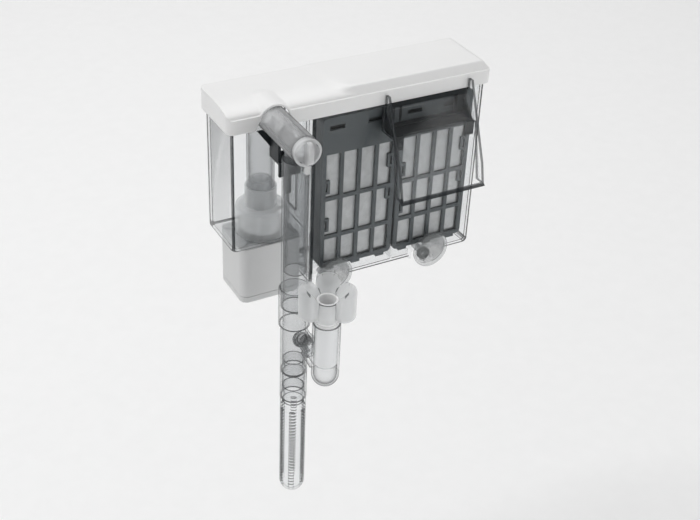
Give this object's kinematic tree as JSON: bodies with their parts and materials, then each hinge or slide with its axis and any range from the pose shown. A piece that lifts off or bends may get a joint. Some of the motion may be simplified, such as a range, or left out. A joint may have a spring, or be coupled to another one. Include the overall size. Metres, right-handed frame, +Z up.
{
  "type": "hang-on-back aquarium filter",
  "caption": "Slim clear aquarium filter box that hangs on the glass rim, with white lid, cartridges, submersible intake, surface skimmer, pump and waterfall outlet.",
  "frame": {"origin": "centre of the outlet tray's underside, where it rests on the top edge of the aquarium glass", "axes": "+X runs along the filter, to the right seen from the tank side; +Y points away from the tank; +Z is up"},
  "size_m": [0.208, 0.1369, 0.3191],
  "materials": {
    "clear_plastic": "clear glossy acrylic",
    "frosted_clear": "milky translucent plastic",
    "white_lid": "satin white moulded plastic",
    "dark_tray": "dark grey moulded plastic",
    "slate_frame": "slate grey moulded plastic",
    "filter_floss": "white fibre floss",
    "carbon_pad": "carbon granules in a fibre pad",
    "pump_grey": "light grey moulded plastic",
    "white_float": "white moulded plastic",
    "rubber_black": "soft black rubber",
    "bush_rubber": "dark rubber",
    "ceramic": "polished ceramic",
    "ferrite": "moulded ferrite",
    "screw_steel": "stainless steel",
    "lamination_steel": "stacked steel sheet",
    "coil_copper": "enamelled copper wire",
    "pad_grey": "translucent grey soft plastic"
  },
  "bodies": {
    "filter_box": {"tub": "clear_plastic", "outlet_tray": "dark_tray", "waterfall_chute": "clear_plastic", "bridge_hanger": "dark_tray", "bridge_tube": "clear_plastic", "impeller_housing": "frosted_clear", "upper_bush": "bush_rubber", "impeller_shaft": "ceramic", "lower_bush": "bush_rubber", "motor_housing": "pump_grey", "motor_cap": "pump_grey", "cap_screws": "screw_steel", "motor_seal": "rubber_black", "stator_core": "lamination_steel", "stator_coil": "coil_copper", "cord_gland": "rubber_black", "cartridge_left_front_frame": "slate_frame", "cartridge_left_back_frame": "slate_frame", "cartridge_left_floss": "filter_floss", "cartridge_left_carbon": "carbon_pad", "cartridge_right_front_frame": "slate_frame", "cartridge_right_back_frame": "slate_frame", "cartridge_right_floss": "filter_floss", "cartridge_right_carbon": "carbon_pad", "level_bracket_left": "clear_plastic", "level_bracket_right": "clear_plastic"},
    "lid": {"lid": "white_lid"},
    "regulator": {"regulator_barrel": "clear_plastic", "regulator_knob": "frosted_clear", "regulator_seal": "rubber_black"},
    "impeller": {"impeller": "white_float", "rotor_magnet": "ferrite"},
    "intake": {"extension_tube": "clear_plastic", "intake_tee": "clear_plastic", "lower_tube": "clear_plastic", "strainer": "clear_plastic", "skimmer_tube": "clear_plastic"},
    "skimmer_valve": {"skimmer_valve": "clear_plastic"},
    "skimmer_float": {"skimmer_float": "white_float", "float_crown": "frosted_clear"},
    "left_nut": {"level_nut_left": "dark_tray"},
    "right_nut": {"level_nut_right": "dark_tray"},
    "left_pad": {"level_pad_left": "pad_grey"},
    "right_pad": {"level_pad_right": "pad_grey"}
  },
  "joints": [
    {"name": "lid_lift", "type": "slide", "parent": "filter_box", "child": "lid", "axis": [0, 0, 1], "range_m": [0, 0.06]},
    {"name": "flow_regulator_turn", "type": "hinge", "parent": "filter_box", "child": "regulator", "pos_m": [-0.1195, -0.03, 0.0265], "axis": [0, -1, 0], "range_deg": [0, 90]},
    {"name": "impeller_spin", "type": "hinge", "parent": "filter_box", "child": "impeller", "pos_m": [-0.1195, 0.03, -0.08], "axis": [0, 0, 1], "continuous": true},
    {"name": "intake_height", "type": "slide", "parent": "filter_box", "child": "intake", "axis": [0, 0, 1], "range_m": [-0.04, 0]},
    {"name": "skimmer_valve_turn", "type": "hinge", "parent": "intake", "child": "skimmer_valve", "pos_m": [-0.11679, -0.03853, -0.12746], "axis": [-0.602, -0.5288, 0.5983], "range_deg": [0, 90]},
    {"name": "skimmer_float_rise", "type": "slide", "parent": "intake", "child": "skimmer_float", "axis": [0, 0, 1], "range_m": [0, 0.02]},
    {"name": "left_pad_slide", "type": "slide", "parent": "filter_box", "child": "left_pad", "axis": [0, -1, 0], "range_m": [-0.0015, 0.006]},
    {"name": "left_nut_turn", "type": "hinge", "parent": "filter_box", "child": "left_nut", "pos_m": [-0.072, 0.0122, -0.1192], "axis": [0, 1, 0], "range_deg": [-362, 1442]},
    {"name": "right_pad_slide", "type": "slide", "parent": "filter_box", "child": "right_pad", "axis": [0, -1, 0], "range_m": [-0.0015, 0.006]},
    {"name": "right_nut_turn", "type": "hinge", "parent": "filter_box", "child": "right_nut", "pos_m": [0.012, 0.0122, -0.1192], "axis": [0, 1, 0], "range_deg": [-362, 1442]}
  ],
  "couplings": [
    {"joint": "left_nut_turn", "follows": "left_pad_slide", "rad_per_m": 4188.8},
    {"joint": "right_nut_turn", "follows": "right_pad_slide", "rad_per_m": 4188.8}
  ]
}
